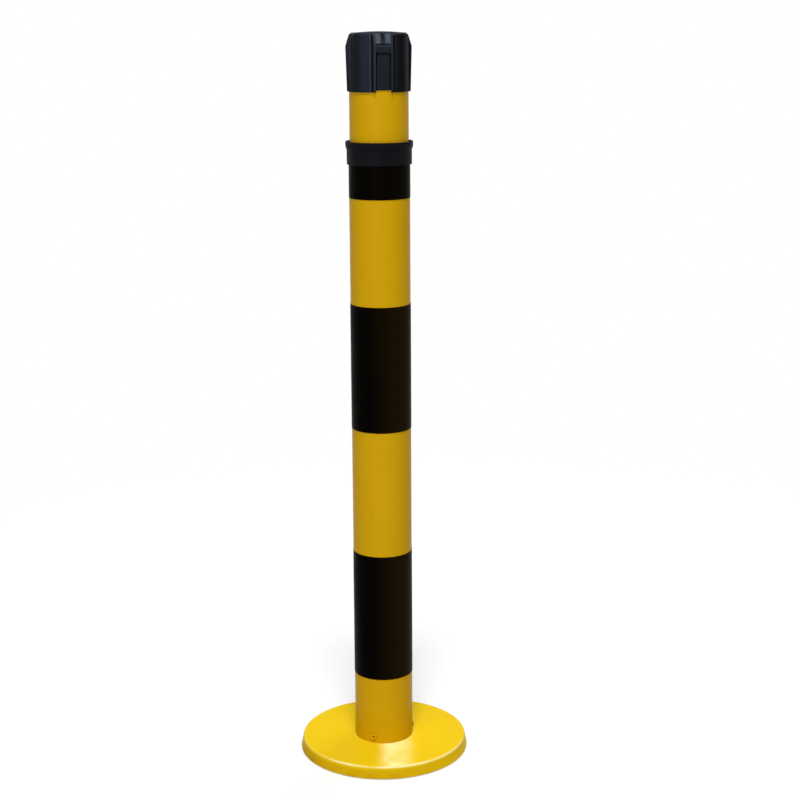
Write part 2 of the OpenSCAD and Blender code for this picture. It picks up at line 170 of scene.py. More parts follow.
def roundEdges(piece, width, segments, sharpDeg):
    piece.data.materials.clear()
    for slot in range(2):  # the second slot marks the rounded edges
        piece.data.materials.append(None)
    useModifier(piece, "BEVEL", width=width * mm, segments=segments, limit_method="ANGLE",
                angle_limit=math.radians(sharpDeg), use_clamp_overlap=True, material=1)
    edges = piece.data.attributes.new("roundedEdge", "FLOAT", "FACE")
    for face in piece.data.polygons:
        edges.data[face.index].value = face.material_index
        face.material_index = 0


def settle(piece, body, material, replaced):
    workOn(piece)
    bpy.ops.object.transform_apply(location=True, rotation=True, scale=True)
    bpy.ops.object.shade_smooth_by_angle(angle=math.radians(meshCare["smoothDeg"]))
    piece.data.materials.clear()
    piece.data.materials.append(material)
    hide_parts(replaced)
    if body:
        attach(piece, body)


# Small tools for wiring materials

def cloud(tree, place, scale, detail, stretch=(1, 1, 1)):
    mapping = tree.nodes.new("ShaderNodeMapping")
    mapping.inputs["Scale"].default_value = stretch
    texture = tree.nodes.new("ShaderNodeTexNoise")
    texture.inputs["Scale"].default_value = scale
    texture.inputs["Detail"].default_value = detail
    tree.links.new(place, mapping.inputs["Vector"])
    tree.links.new(mapping.outputs["Vector"], texture.inputs["Vector"])
    return texture.outputs[0]


def remap(tree, value, fromLow, fromHigh, toLow, toHigh):
    node = tree.nodes.new("ShaderNodeMapRange")
    numbers = {"From Min": fromLow, "From Max": fromHigh, "To Min": toLow, "To Max": toHigh}
    for key, number in numbers.items():
        node.inputs[key].default_value = number
    tree.links.new(value, node.inputs["Value"])
    return node.outputs["Result"]


def remapMm(tree, value, fromLow, fromHigh, toLow, toHigh):
    return remap(tree, value, fromLow * mm, fromHigh * mm, toLow, toHigh)


def combine(tree, how, *values):
    node = tree.nodes.new("ShaderNodeMath")
    node.operation = how
    for socket, value in zip(node.inputs, values):
        if isinstance(value, (int, float)):
            socket.default_value = value
        else:
            tree.links.new(value, socket)
    return node.outputs[0]


def times(tree, first, *others):
    for other in others:
        first = combine(tree, "MULTIPLY", first, other)
    return first


def tint(tree, factor, first, second):
    node = tree.nodes.new("ShaderNodeMix")
    node.data_type = "RGBA"
    tree.links.new(factor, node.inputs["Factor"])
    for key, colour in (("A", first), ("B", second)):
        if isinstance(colour, tuple):
            node.inputs[key].default_value = colour + (1,)
        else:
            tree.links.new(colour, node.inputs[key])
    return node.outputs["Result"]


def part(tree, place, axis):
    node = tree.nodes.new("ShaderNodeSeparateXYZ")
    tree.links.new(place, node.inputs["Vector"])
    return node.outputs[axis]


def fromMiddle(tree, place):
    return combine(tree, "ABSOLUTE", part(tree, place, "X"))


def reachOf(tree, vector):
    node = tree.nodes.new("ShaderNodeVectorMath")
    node.operation = "LENGTH"
    tree.links.new(vector, node.inputs[0])
    return node.outputs["Value"]


def outward(tree, place):
    flat = tree.nodes.new("ShaderNodeVectorMath")
    flat.operation = "MULTIPLY"
    flat.inputs[1].default_value = (1, 1, 0)
    tree.links.new(place, flat.inputs[0])
    return reachOf(tree, flat.outputs["Vector"])  # distance from the post's axis


def marked(tree, mark):
    node = tree.nodes.new("ShaderNodeAttribute")
    node.attribute_name = mark
    return node.outputs["Fac"]


# Camera at the photo's viewing angle

photoCamera = {
    "azimuth": -9.0,  # degrees from the front, negative to the left
    "distance": 2.0957,  # metres from the post's axis
    "height": 0.9721,
    "pitchDown": 12.555,
    "yaw": 0.668,  # turned right of the axis
    "roll": -0.337,
    "focalPixels": 1650.2,
    "framePixels": 800,
    "axisRow": 382.0,  # pixel row of the optical axis
    "sensor": 36.0,  # millimetres
}


def placeCamera(spec):
    azimuth, pitch, yaw, roll = (math.radians(spec[k]) for k in ("azimuth", "pitchDown", "yaw", "roll"))
    away = Vector((-math.sin(azimuth), math.cos(azimuth), 0))
    across = Vector((math.cos(azimuth), math.sin(azimuth), 0))
    level = away * math.cos(yaw) + across * math.sin(yaw)
    right = across * math.cos(yaw) - away * math.sin(yaw)
    rise = Vector((0, 0, 1))
    forward = level * math.cos(pitch) - rise * math.sin(pitch)
    up = rise * math.cos(pitch) + level * math.sin(pitch)
    rolledRight = right * math.cos(roll) + up * math.sin(roll)
    rolledUp = up * math.cos(roll) - right * math.sin(roll)
    workOn(None)
    bpy.ops.object.camera_add()
    camera = bpy.context.object
    camera.name = "photoCamera"
    turn = Matrix((rolledRight, rolledUp, -forward)).transposed().to_4x4()
    camera.matrix_world = Matrix.Translation(-away * spec["distance"] + rise * spec["height"]) @ turn
    camera.data.sensor_width = spec["sensor"]
    camera.data.lens = spec["sensor"] * spec["focalPixels"] / spec["framePixels"]
    camera.data.shift_y = (spec["axisRow"] - spec["framePixels"] / 2) / spec["framePixels"]
    bpy.context.scene.camera = camera


placeCamera(photoCamera)
print("camera placed")


# Studio: pale floor, white surroundings, soft lamps

studio = {
    "ambient": 0.17,  # what lights the object from all round
    "floorColour": 0.5,
    "floorGlow": 0.45,  # added to what the camera sees of the lit floor
    "floorSize": 60.0,
    "shadowReach": (0.5, 1.6),  # metres over which the floor turns plain white
}
softBoxes = {
    "key": {"at": (-1.5, -2.95, 1.4), "aim": (0.0, 0.0, 0.5), "size": (2.0, 2.0), "power": 36},
    "window": {"at": (0.32, -1.36, 2.43), "aim": (0.0, 0.0, 0.93), "size": (0.4, 0.4), "power": 6},
    "back": {"at": (1.5, 1.6, 3.2), "aim": (0.0, 0.0, 0.5), "size": (1.4, 1.4), "power": 32},
}
topLamp = {  # far off, so the same all over
    "azimuth": -9.0, "elevation": 68.0, "spread": 12.0, "strength": 2.4,
}


def seenRays(tree):
    rays = tree.nodes.new("ShaderNodeLightPath")
    seen = rays.outputs["Is Camera Ray"]
    for other in ("Is Glossy Ray", "Is Transmission Ray"):
        seen = combine(tree, "MAXIMUM", seen, rays.outputs[other])
    return seen


def paleWorld(spec):
    world = bpy.data.worlds.new("paleStudio")
    world.use_nodes = True
    bpy.context.scene.world = world
    tree = world.node_tree
    shade = tint(tree, seenRays(tree), (spec["ambient"],) * 3, (1, 1, 1))
    tree.links.new(shade, tree.nodes["Background"].inputs["Color"])


def paleFloor(spec):
    workOn(None)
    bpy.ops.mesh.primitive_plane_add(size=spec["floorSize"])
    floor = bpy.context.object
    floor.name = "studioFloor"
    material = bpy.data.materials.new("paleFloor")
    material.use_nodes = True
    tree = material.node_tree
    lit = tree.nodes["Principled BSDF"]
    lit.inputs["Base Color"].default_value = (spec["floorColour"],) * 3 + (1,)
    lit.inputs["Roughness"].default_value = 1
    lit.inputs["Specular IOR Level"].default_value = 0
    lit.inputs["Emission Color"].default_value = (1, 1, 1, 1)
    seen = seenRays(tree)
    tree.links.new(times(tree, seen, spec["floorGlow"]), lit.inputs["Emission Strength"])
    place = tree.nodes.new("ShaderNodeTexCoord")
    far = remap(tree, reachOf(tree, place.outputs["Object"]), *spec["shadowReach"], 0, 1)
    far.node.interpolation_type = "SMOOTHSTEP"
    white = tree.nodes.new("ShaderNodeEmission")
    both = tree.nodes.new("ShaderNodeMixShader")
    tree.links.new(times(tree, far, seen), both.inputs["Fac"])
    tree.links.new(lit.outputs["BSDF"], both.inputs[1])
    tree.links.new(white.outputs["Emission"], both.inputs[2])
    tree.links.new(both.outputs["Shader"], tree.nodes["Material Output"].inputs["Surface"])
    floor.data.materials.append(material)


def hangLamp(name, kind, at, facing):
    workOn(None)
    bpy.ops.object.light_add(type=kind, location=at)
    lamp = bpy.context.object
    lamp.name = name
    lamp.rotation_euler = facing.to_track_quat("-Z", "Y").to_euler()
    return lamp


def hangSoftBox(name, spec):
    lamp = hangLamp(name, "AREA", spec["at"], Vector(spec["aim"]) - Vector(spec["at"]))
    lamp.data.shape = "RECTANGLE"
    lamp.data.size, lamp.data.size_y = spec["size"]
    lamp.data.energy = spec["power"]
    return lamp


def hangTopLamp(spec):
    azimuth, elevation = (math.radians(spec[k]) for k in ("azimuth", "elevation"))
    toLamp = Vector((math.sin(azimuth), -math.cos(azimuth), math.tan(elevation)))
    lamp = hangLamp("top", "SUN", (0, 0, 0), -toLamp)
    lamp.data.angle = math.radians(spec["spread"])
    lamp.data.energy = spec["strength"]


bpy.context.scene.view_settings.view_transform = "Standard"
paleWorld(studio)
paleFloor(studio)
for boxName, boxSpec in softBoxes.items():
    hangSoftBox(boxName, boxSpec)
hangTopLamp(topLamp)
print("studio set")


# Steps that the finishes share
# A cloud is given by scale, detail and stretch, a grain by scale, detail and depth in millimetres

cloudSpan = (0.3, 0.7)  # where most of a cloud's values lie


def startFinish(name, spec):
    material = bpy.data.materials.new(name)
    material.use_nodes = True
    tree = material.node_tree
    shader = tree.nodes["Principled BSDF"]
    shader.inputs["Roughness"].default_value = spec["rough"]
    shader.inputs["Specular IOR Level"].default_value = spec["specular"]
    shader.inputs["Metallic"].default_value = spec.get("metal", 0)
    place = tree.nodes.new("ShaderNodeTexCoord")
    return material, tree, shader, place.outputs["Object"]


def relief(tree, shader, layers):
    normal = None
    for height, depth in layers:
        bump = tree.nodes.new("ShaderNodeBump")
        bump.inputs["Distance"].default_value = depth * mm
        tree.links.new(height, bump.inputs["Height"])
        if normal:
            tree.links.new(normal, bump.inputs["Normal"])
        normal = bump.outputs["Normal"]
    tree.links.new(normal, shader.inputs["Normal"])


def grains(tree, place, layers):
    return [(cloud(tree, place, scale, detail), depth) for scale, detail, depth in layers]


def patchyGloss(tree, shader, pattern, roughSpan):
    tree.links.new(remap(tree, pattern, *cloudSpan, *roughSpan), shader.inputs["Roughness"])


# Yellow paint on the tubes, the base and the screws

paintSkin = {"grain": ((620, 2, 0.04), (45, 2, 0.08)), "roughCloud": (40, 4), "roughSpan": (0.27, 0.4)}
tubePaint = {
    "rough": 0.33, "specular": 0.035,
    "cloud": (14, 4), "dark": (0.555, 0.312, 0.002), "pale": (0.60, 0.344, 0.003),
    "drag": (160, 4, (1, 1, 0.05)), "dragShare": (0.6, 0.74, 0, 0.14),  # faint lengthways marks
    "dragTone": (0.42, 0.22, 0.006),
}
basePaint = {  # places in millimetres
    "rough": 0.33, "specular": 0.012,
    # the tubes' paint, made paler here as painted light for the brightly lit top, and more lemon
    "cloud": (22, 4), "dark": (0.73, 0.485, 0.005), "pale": (0.79, 0.535, 0.007),
    "rimRise": (-3.0, 0.5, 1, 0), "rimAcross": (20, 100, 0, 1),  # upright rim with painted shade, darker on the left and paler to the right
    "rimShadeLeft": (0.66, 0.405, 0.003), "rimLightRight": (0.80, 0.52, 0.004),
    # pale line round the rolled edge: a painted highlight, strongest on the near side, broken up in patches
    "highlightStart": (0.2, 0.5, 0, 1), "highlightEnd": (1.2, 1.5, 1, 0),  # radians round the rolled edge
    "highlightDepth": (-100, -30, 1, 0.15),  # painted highlight, most on the near side
    "highlightCloud": (34, 4), "highlightShare": (0.36, 0.56, 0.2, 0.85), "highlightTone": (0.86, 0.72, 0.40),
    "grimeRise": (1, 14, 1, 0), "grimeAcross": (-100, 60, 1, 0.25),  # at the rim's foot
    "grimeCloud": (60, 5), "grimeShare": (0.32, 0.66, 0.1, 0.75), "grimeTone": (0.34, 0.17, 0.002),
}
screwPaint = {
    "rough": 0.25, "specular": 0.06,
    "cloud": (200, 3), "dark": (0.60, 0.33, 0.002), "pale": (0.66, 0.37, 0.003),
    "recessFloor": 0.4, "recessTop": 1.1, "recessShade": (0.012, 0.006, 0.001),  # millimetres off the tube; the hex socket is painted dark as painted shade
}


def paintRelief(tree, shader, place, spec):
    relief(tree, shader, grains(tree, place, spec["grain"]))
    patchyGloss(tree, shader, cloud(tree, place, *spec["roughCloud"]), spec["roughSpan"])


def glossYellow(spec):
    material, tree, shader, place = startFinish("glossYellow", spec)
    tone = tint(tree, cloud(tree, place, *spec["cloud"]), spec["dark"], spec["pale"])
    drag = remap(tree, cloud(tree, place, *spec["drag"]), *spec["dragShare"])
    tree.links.new(tint(tree, drag, tone, spec["dragTone"]), shader.inputs["Base Color"])
    paintRelief(tree, shader, place, paintSkin)
    return material


def baseYellow(spec, turnRadius, turnHeight):
    material, tree, shader, place = startFinish("baseYellow", spec)
    across, depth, height = (part(tree, place, axis) for axis in "XYZ")
    tone = tint(tree, cloud(tree, place, *spec["cloud"]), spec["dark"], spec["pale"])
    rise = combine(tree, "SUBTRACT", height, turnHeight)
    # painted shade and light on the upright rim, by its place across the base
    shade = tint(tree, remapMm(tree, across, *spec["rimAcross"]), spec["rimShadeLeft"], spec["rimLightRight"])
    tone = tint(tree, remapMm(tree, rise, *spec["rimRise"]), tone, shade)
    # pale line round the rolled edge: painted highlight
    beyond = combine(tree, "SUBTRACT", outward(tree, place), turnRadius)
    turn = combine(tree, "ARCTAN2", rise, beyond)
    paintedHighlight = times(tree, remap(tree, turn, *spec["highlightStart"]), remap(tree, turn, *spec["highlightEnd"]),
                 remapMm(tree, depth, *spec["highlightDepth"]),
                 remap(tree, cloud(tree, place, *spec["highlightCloud"]), *spec["highlightShare"]))
    tone = tint(tree, paintedHighlight, tone, spec["highlightTone"])
    grime = times(tree, remapMm(tree, height, *spec["grimeRise"]),
                  remap(tree, cloud(tree, place, *spec["grimeCloud"]), *spec["grimeShare"]),
                  remapMm(tree, across, *spec["grimeAcross"]))
    tree.links.new(tint(tree, grime, tone, spec["grimeTone"]), shader.inputs["Base Color"])
    paintRelief(tree, shader, place, paintSkin)
    return material


def paintedScrew(spec, tubeRadius):
    material, tree, shader, place = startFinish("paintedScrew", spec)
    tone = tint(tree, cloud(tree, place, *spec["cloud"]), spec["dark"], spec["pale"])
    # painted shade in the hex socket
    bottom, mouth = (tubeRadius + spec[k] * mm for k in ("recessFloor", "recessTop"))
    deep = remap(tree, outward(tree, place), bottom, mouth, 1, 0)
    tree.links.new(tint(tree, deep, tone, spec["recessShade"]), shader.inputs["Base Color"])
    paintRelief(tree, shader, place, paintSkin)
    return material


# Black film of the bands

bandFilm = {
    "rough": 0.35, "specular": 0.01, "roughCloud": (30, 5), "roughSpan": (0.28, 0.42),
    "streaks": (26, 3, (1, 1, 0.08)), "streakShare": (0.35, 0.65, 0.75, 1), "streakDepth": 0.03,
    "sheenAcross": (-20, 36, 0, 1), "sheenRise": (700, 750, 1, 0.15),  # painted warm sheen towards the right side, less on the upper band
    "dark": (0.0012, 0.0007, 0.0001), "paintedSheen": (0.0150, 0.0085, 0.0007),
    "grain": ((900, 2, 0.02),),
}


def blackFilm(spec):
    material, tree, shader, place = startFinish("blackFilm", spec)
    streaks = cloud(tree, place, *spec["streaks"])
    # painted sheen, warm and pale towards the right
    paintedSheen = times(tree, remapMm(tree, part(tree, place, "X"), *spec["sheenAcross"]),
                  remapMm(tree, part(tree, place, "Z"), *spec["sheenRise"]),
                  remap(tree, streaks, *spec["streakShare"]))
    tree.links.new(tint(tree, paintedSheen, spec["dark"], spec["paintedSheen"]), shader.inputs["Base Color"])
    patchyGloss(tree, shader, cloud(tree, place, *spec["roughCloud"]), spec["roughSpan"])
    relief(tree, shader, [(streaks, spec["streakDepth"])] + grains(tree, place, spec["grain"]))
    return material


# Black plastic of the head, the belt end, the cap and the collar

headPlastic = {"dark": (0.0066, 0.0080, 0.0114), "pale": (0.0094, 0.0112, 0.0157),
               "rough": 0.4, "roughSpan": (0.42, 0.56), "specular": 0.03, "sideLight": True}
beltEndPlastic = {"dark": (0.0070, 0.0092, 0.0138), "pale": (0.0098, 0.0125, 0.0182),
                  "rough": 0.4, "roughSpan": (0.38, 0.5), "specular": 0.06}
capPlastic = {"dark": (0.0045, 0.0052, 0.0072), "pale": (0.0068, 0.0078, 0.0105),
              "rough": 0.4, "roughSpan": (0.55, 0.7), "specular": 0.02}
collarPlastic = {"dark": (0.0042, 0.0044, 0.0058), "pale": (0.0065, 0.0067, 0.0086),
                 "rough": 0.4, "roughSpan": (0.4, 0.55), "specular": 0.03}
plasticSkin = {
    "cloud": (60, 4), "roughCloud": (90, 4), "grain": ((2400, 2, 0.03), (130, 2, 0.04)),
    "rubs": (220, 4, (0.15, 0.15, 1)), "rubShare": (0.64, 0.74, 0, 0.25), "rubTone": (0.03, 0.032, 0.038),
    "mattFrom": (36.2, 37.6),  # side pads, in millimetres from the middle
}
plasticMarks = {  # places in millimetres
    "channelShade": (0.0022, 0.0025, 0.0034),  # painted shade in the channels beside the pads
    # pale strip on the ledge under the window: painted highlight on its edge
    "sillHighlight": (0.020, 0.028, 0.041), "sillAcross": 11.6, "sillLow": 934.2, "sillHigh": 935.8,
    "sillDepth": -36.0, "sillSoft": 0.4,
    "grooveAcross": (2.0, 4.0), "grooveReflection": 0.06,  # the painted reflection is mostly left off the window's groove
    "patches": (140, 3), "patchSpan": (0.3, 0.65), "patchMost": 0.95,
    "roundedEdge": (0.017, 0.019, 0.025), "roundedEdgeLeast": 0.3,  # rounded edges painted pale: painted edge highlight, with some polish from handling
    "window": (0.066, 0.083, 0.115), "windowLeast": 0.7,  # painted reflection on the sloped window
}
shellSideLight = {  # painted light and shade in strips across the shell: sheen, shade and edge highlights, in millimetres from the middle
    "leftSheen": {"across": (-31, -24, -15.2, -14.8), "tone": (0.0152, 0.0198, 0.0319)},
    "rightShade": {"across": (14, 25, 27, 30.5), "tone": (0.0009, 0.0007, 0.0020)},
    "leftEdge": {"across": (-16.8, -16.2, -15.0, -14.7), "tone": (0.034, 0.040, 0.050)},
    "crossbar": {"across": (-9.8, -9.5, 9.5, 9.8), "tone": (0.0125, 0.0155, 0.0215)},
    "leftFlank": {"across": (-42.5, -42, -35.6, -35), "tone": (0.022, 0.0255, 0.032)},
    "leftRail": {"across": (-12.5, -12.2, -9.8, -9.5), "tone": (0.024, 0.029, 0.037)},
    "rightRail": {"across": (9.5, 9.8, 12.0, 12.5), "tone": (0.018, 0.021, 0.028)},
    "rightSheen": {"across": (29.5, 31.5, 35, 35.6), "tone": (0.0145, 0.0150, 0.0195)},
    "rightEdge": {"across": (14.7, 15.0, 16.2, 16.8), "tone": (0.014, 0.0155, 0.020)},
}


def paintedSideLight(tree, place, tone, spec):
    across = part(tree, place, "X")
    for strip in spec.values():
        start, full, last, end = strip["across"]
        inside = times(tree, remapMm(tree, across, start, full, 0, 1), remapMm(tree, across, last, end, 1, 0))
        tone = tint(tree, inside, tone, strip["tone"])
    return tone


# where the painted highlight on the ledge under the window is whole and where it fades
def sillHighlightStrip(tree, place, spec):
    soft = spec["sillSoft"]
    height = part(tree, place, "Z")
    edges = (  # each with the places where the strip is whole and gone
        (fromMiddle(tree, place), spec["sillAcross"] - soft, spec["sillAcross"]),
        (height, spec["sillLow"], spec["sillLow"] - soft),
        (height, spec["sillHigh"], spec["sillHigh"] + soft),
        (part(tree, place, "Y"), spec["sillDepth"] - soft, spec["sillDepth"]),
    )
    return times(tree, *(remapMm(tree, value, whole, gone, 1, 0) for value, whole, gone in edges))


# Rounded edges painted pale as painted edge highlight with some polish, and the sloped window as painted
# reflection
def edgeAndWindowHighlights(tree, place, tone, spec):
    patchy = cloud(tree, place, *spec["patches"])
    groove = remapMm(tree, fromMiddle(tree, place), *spec["grooveAcross"], spec["grooveReflection"], 1)
    for mark in ("roundedEdge", "window"):
        share = remap(tree, patchy, *spec["patchSpan"], spec[mark + "Least"], spec["patchMost"])
        paintedHighlight = times(tree, marked(tree, mark), share)
        if mark == "window":
            paintedHighlight = times(tree, paintedHighlight, groove)
        tone = tint(tree, paintedHighlight, tone, spec[mark])
    return tone


def mouldedPlastic(name, spec):
    material, tree, shader, place = startFinish(name, spec)
    tone = tint(tree, cloud(tree, place, *plasticSkin["cloud"]), spec["dark"], spec["pale"])
    rubs = remap(tree, cloud(tree, place, *plasticSkin["rubs"]), *plasticSkin["rubShare"])
    tone = tint(tree, rubs, tone, plasticSkin["rubTone"])
    if spec.get("sideLight"):
        # painted light and shade across the shell
        tone = paintedSideLight(tree, place, tone, shellSideLight)
        sheen = remapMm(tree, fromMiddle(tree, place), *plasticSkin["mattFrom"], spec["specular"], 0)
        tree.links.new(sheen, shader.inputs["Specular IOR Level"])
    tone = tint(tree, marked(tree, "channelShade"), tone, plasticMarks["channelShade"])
    tone = tint(tree, sillHighlightStrip(tree, place, plasticMarks), tone, plasticMarks["sillHighlight"])
    tree.links.new(edgeAndWindowHighlights(tree, place, tone, plasticMarks), shader.inputs["Base Color"])
    patchyGloss(tree, shader, cloud(tree, place, *plasticSkin["roughCloud"]), spec["roughSpan"])
    relief(tree, shader, grains(tree, place, plasticSkin["grain"]))
    return material


# Rubber, iron, steel and nylon inside, and the belt's webbing

floorRubber = {"rough": 0.8, "specular": 0.2, "cloud": (45, 5), "share": (0.4, 0.7, 0, 0.5),
               "plain": (0.012, 0.012, 0.012), "spots": (0.05, 0.048, 0.044), "grain": ((1300, 3, 0.1),)}
weightIron = {"rough": 0.65, "specular": 0.4, "metal": 0.6, "cloud": (38, 5), "share": (0.55, 0.75, 0, 0.6),
              "plain": (0.09, 0.09, 0.092), "spots": (0.14, 0.06, 0.03), "grain": ((420, 4, 0.3),)}
reelNylon = {"rough": 0.5, "specular": 0.35, "cloud": (80, 4), "share": (0, 1, 0, 1),
             "plain": (0.27, 0.27, 0.25), "spots": (0.33, 0.33, 0.31), "grain": ((1800, 2, 0.05),)}
drawnSteel = {"rough": 0.35, "specular": 0.5, "metal": 1.0, "roughSpan": (0.28, 0.45),
              "lines": (500, 3, (1, 1, 0.1)), "lineDepth": 0.03,
              "dark": (0.42, 0.42, 0.43), "pale": (0.6, 0.6, 0.61)}
pinSteel = {**drawnSteel, "dark": (0.05, 0.05, 0.053), "pale": (0.08, 0.08, 0.083)}
beltWeave = {"rough": 0.75, "specular": 0.2, "pitch": 1.6, "depth": 0.2, "grain": ((3000, 2, 0.04),),
             "yarns": ((0, 1, 1), (0, 1, -1)),  # two crossing sets
             "dark": (0.006, 0.006, 0.007), "pale": (0.028, 0.028, 0.03)}


def spottedFinish(name, spec):
    material, tree, shader, place = startFinish(name, spec)
    spots = remap(tree, cloud(tree, place, *spec["cloud"]), *spec["share"])
    tree.links.new(tint(tree, spots, spec["plain"], spec["spots"]), shader.inputs["Base Color"])
    relief(tree, shader, grains(tree, place, spec["grain"]))
    return material


def plainSteel(name, spec):
    material, tree, shader, place = startFinish(name, spec)
    lines = cloud(tree, place, *spec["lines"])
    tree.links.new(tint(tree, lines, spec["dark"], spec["pale"]), shader.inputs["Base Color"])
    patchyGloss(tree, shader, lines, spec["roughSpan"])
    relief(tree, shader, [(lines, spec["lineDepth"])])
    return material


def wovenBelt(spec):
    material, tree, shader, place = startFinish("wovenBelt", spec)
    ribs = []
    for turn in spec["yarns"]:
        lean = tree.nodes.new("ShaderNodeVectorMath")
        lean.operation = "DOT_PRODUCT"
        lean.inputs[1].default_value = turn
        tree.links.new(place, lean.inputs[0])
        wave = combine(tree, "SINE", remapMm(tree, lean.outputs["Value"], 0, spec["pitch"], 0, fullTurn))
        ribs.append(remap(tree, wave, -1, 1, 0, 1))
    weave = times(tree, *ribs)
    tree.links.new(tint(tree, weave, spec["dark"], spec["pale"]), shader.inputs["Base Color"])
    relief(tree, shader, [(weave, spec["depth"])] + grains(tree, place, spec["grain"]))
    return material


finishes = {
    "yellow_paint": glossYellow(tubePaint),
    "black_film": blackFilm(bandFilm),
    "black_plastic": mouldedPlastic("mouldedBlack", headPlastic),
    "clip_plastic": mouldedPlastic("beltEndBlack", beltEndPlastic),
    "inner_plastic": spottedFinish("greyNylon", reelNylon),
    "rubber": spottedFinish("darkRubber", floorRubber),
    "cast_iron": spottedFinish("castIron", weightIron),
    "steel": plainSteel("plainSteel", drawnSteel),
    "belt_webbing": wovenBelt(beltWeave),
}
for row in frame["record"]["subparts"]:
    cadNode = nodes[row["node"]]
    cadNode.data.materials.clear()
    cadNode.data.materials.append(finishes[row["material_slot"]])
blackenedSteel = plainSteel("blackenedSteel", pinSteel)
for pinNode in ("guide_pins", "clip_pin"):
    nodes[pinNode].data.materials[0] = blackenedSteel
print("finishes made:", len(finishes))


# Base cover: pressed sheet with a rolled edge and a flared rim

baseCover = {"edgeRound": 3.0, "rimFlare": 2.5, "sheet": 1.2, "hole": 6.1, "hemRound": 0.5, "hemLean": 0.2,
             "hemSteps": 4, "hold": 0.3, "arcSteps": 12, "steps": 160}


def makeBaseCover(spec):
    low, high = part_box("base_cover")
    rimR, top, foot = high.x, high.z, low.z
    edge, sheet, hem, lean, hold, hole = (spec[k] * mm for k in (
        "edgeRound", "sheet", "hemRound", "hemLean", "hold", "hole"))
    topR = rimR - spec["rimFlare"] * mm
    centre = (topR - edge, top - edge)
    outside = [(hole, top), (centre[0] - hold, top)]  # a loop holds the flat top flat
    outside += arcPoints(centre, edge, 90, 0, spec["arcSteps"])
    outside += [(rimR - lean, foot + 2 * hem)]
    outside += arcPoints((rimR - hem, foot + hem), hem, 0, -90, spec["hemSteps"])
    inside = [(rimR - sheet, foot)] + arcPoints(centre, edge - sheet, 0, 90, spec["arcSteps"])
    inside += [(centre[0] - hold, top - sheet), (hole, top - sheet)]
    piece = spunPiece("baseCover", outside + inside, spec["steps"])
    settle(piece, "post", baseYellow(basePaint, *centre), "base_cover")
    return piece


spunBase = makeBaseCover(baseCover)
print("base cover spun")


# Glint before the tube's foot: a strip lamp that only the base's gloss catches

glint = {"at": (0.0965, 0.47, 0.271), "aim": (0.006, -0.068, 0.0165), "size": (0.034, 0.2), "beam": 2.5,
         "power": 0.0125}


def hangGlint(spec, catcher):
    lamp = hangSoftBox("glint", spec)
    lamp.data.spread = math.radians(spec["beam"])
    lamp.visible_camera = lamp.visible_diffuse = False
    caught = bpy.data.collections.new("glintCatcher")
    caught.objects.link(catcher)
    lamp.light_linking.receiver_collection = caught
    lamp.light_linking.blocker_collection = caught  # the tube casts no shadow in it


hangGlint(glint, spunBase)
print("glint hung")


# Screws at the tube's foot, painted over, with painted shade in the hex socket

footScrews = {"edge": 0.35, "segments": 3, "sharp": 40}


def makeFootScrews(spec):
    piece = plainCopy("footScrews", "tube_screws")
    roundEdges(piece, spec["edge"], spec["segments"], spec["sharp"])
    paint = paintedScrew(screwPaint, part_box("lower_tube")[1].x)
    settle(piece, "post", paint, "tube_screws")


makeFootScrews(footScrews)
print("foot screws rounded")


# Film bands: each a strip wrapped once round the tube, lapped at the back

bandWrap = {"thickness": 0.3, "lap": 12.0, "lapLift": 1.1, "lapLeast": 3, "lapRise": 2,  # last two in steps
            "steps": 132, "rows": 4}


def wrapBand(name, node, spec):
    low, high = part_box(node)
    thick, rows, around = spec["thickness"] * mm, spec["rows"], spec["steps"]
    radius = high.x - thick
    piece = startPoint(name, (0, radius, low.z))
    for row in range(rows):
        drawOn((0, 0, (high.z - low.z) / rows))
    lapTurn = spec["lap"] * mm / radius
    steps = around + max(spec["lapLeast"], round(around * lapTurn / fullTurn))
    spinAll(steps, fullTurn * steps / around)
    bpy.ops.object.mode_set(mode="OBJECT")
    for vertex in piece.data.vertices:
        past = vertex.index // (rows + 1) - around  # steps into the lap
        lift = min(max(past + spec["lapRise"], 0) / spec["lapRise"], 1) * thick * spec["lapLift"]
        vertex.co.xy *= 1 + lift / radius
    useModifier(piece, "SOLIDIFY", thickness=thick, offset=1)
    settle(piece, "post", finishes["black_film"], node)


for bandNode in ("band_lower", "band_middle", "band_upper"):
    wrapBand(bandNode.replace("band_", "filmBand."), bandNode, bandWrap)
print("film bands wrapped")


# Collar: flared ring on the tube's end

collarRing = {"skirt": 41.3, "flare": 7.0, "lip": 5.0, "mouth": 41.08, "mouthDepth": 3.5, "mouthRound": 0.3,
              "guide": 37.45, "groove": 39.4, "grooveRise": 2.0, "grooveHeight": 4.0, "tubeDrop": 12.0,
              "tubeFit": 38.9, "round": 0.8, "roundSteps": 5, "footHold": 2.4, "lipHold": 1.6,
              "arcSteps": 12, "steps": 128}


